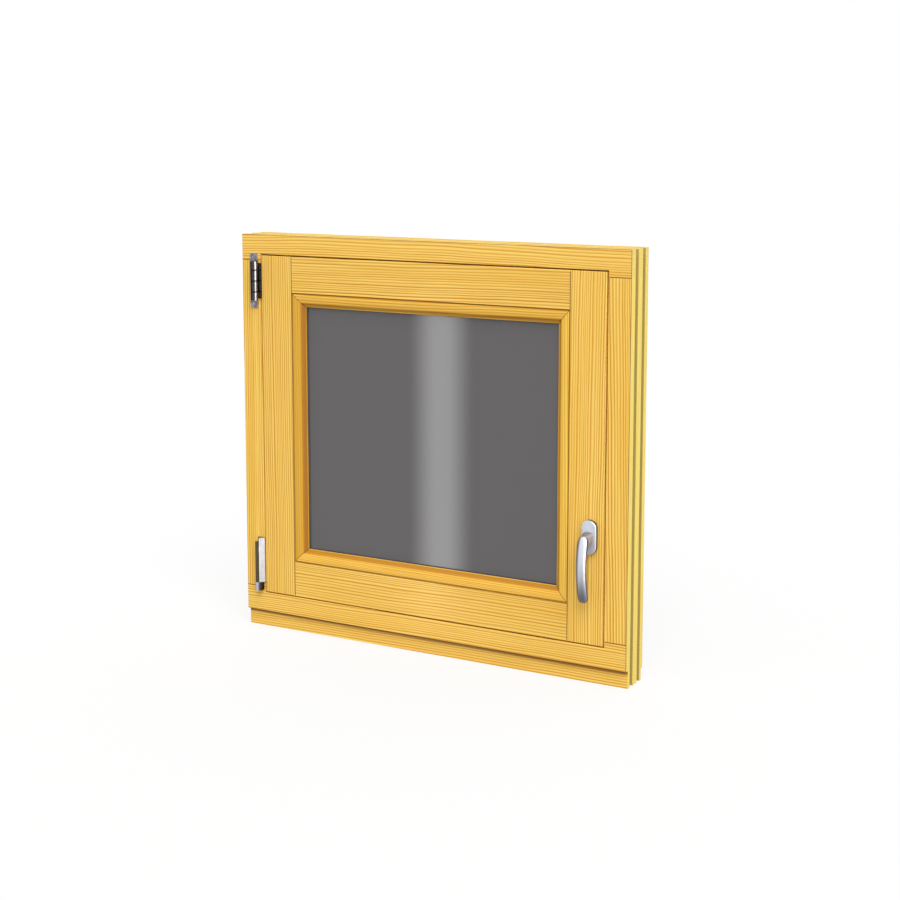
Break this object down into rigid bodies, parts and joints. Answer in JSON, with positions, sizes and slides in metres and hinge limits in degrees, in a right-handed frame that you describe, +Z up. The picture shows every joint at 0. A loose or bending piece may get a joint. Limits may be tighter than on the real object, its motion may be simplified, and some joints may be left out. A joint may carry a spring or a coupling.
{
  "type": "tilt and turn window",
  "caption": "Pine tilt and turn window, closed: flush sash with double glazing and mitred beads, side hinges and a lever handle that turns.",
  "frame": {"origin": "middle of the frame's base, halfway through the frame's depth", "axes": "+Z up, +X from the hinges to the handle, -Y towards the room"},
  "size_m": [0.78, 0.1139, 0.74],
  "materials": {
    "pine": "clear satin varnish",
    "pane": "grey tinted, polished",
    "spacer": "mill",
    "seal": "matte",
    "rail_metal": "satin anodised",
    "cap_plastic": "moulded",
    "hinge_steel": "zinc plated",
    "hinge_chrome": "polished",
    "cover_metal": "satin",
    "handle_metal": "satin anodised"
  },
  "bodies": {
    "window": {"frame_head": "pine", "frame_bottom_rail": "pine", "frame_hinge_jamb": "pine", "frame_lock_jamb": "pine", "sash_top_rail": "pine", "sash_bottom_rail": "pine", "sash_hinge_stile": "pine", "sash_lock_stile": "pine", "bead_top": "pine", "bead_bottom": "pine", "bead_hinge_side": "pine", "bead_lock_side": "pine", "inner_pane": "pane", "outer_pane": "pane", "glass_spacer": "spacer", "inner_glazing_seal": "seal", "outer_glazing_seal": "seal", "lip_seal": "seal", "stop_seal": "seal", "rain_rail": "rail_metal", "rain_rail_end_caps": "cap_plastic", "top_hinge_frame_bracket": "hinge_steel", "top_hinge_sash_arm": "hinge_chrome", "top_hinge_pin": "hinge_steel", "bottom_hinge_bearing": "hinge_steel", "bottom_hinge_pin": "hinge_steel", "bottom_hinge_strap": "hinge_chrome", "bottom_hinge_cover": "cover_metal", "handle_rosette": "handle_metal"},
    "handle": {"handle_lever": "handle_metal", "handle_spindle": "hinge_steel"}
  },
  "joints": [
    {"name": "handle_turn", "type": "hinge", "parent": "window", "child": "handle", "pos_m": [0.322, -0.035, 0.256], "axis": [0, 1, 0], "range_deg": [0, 180]}
  ]
}
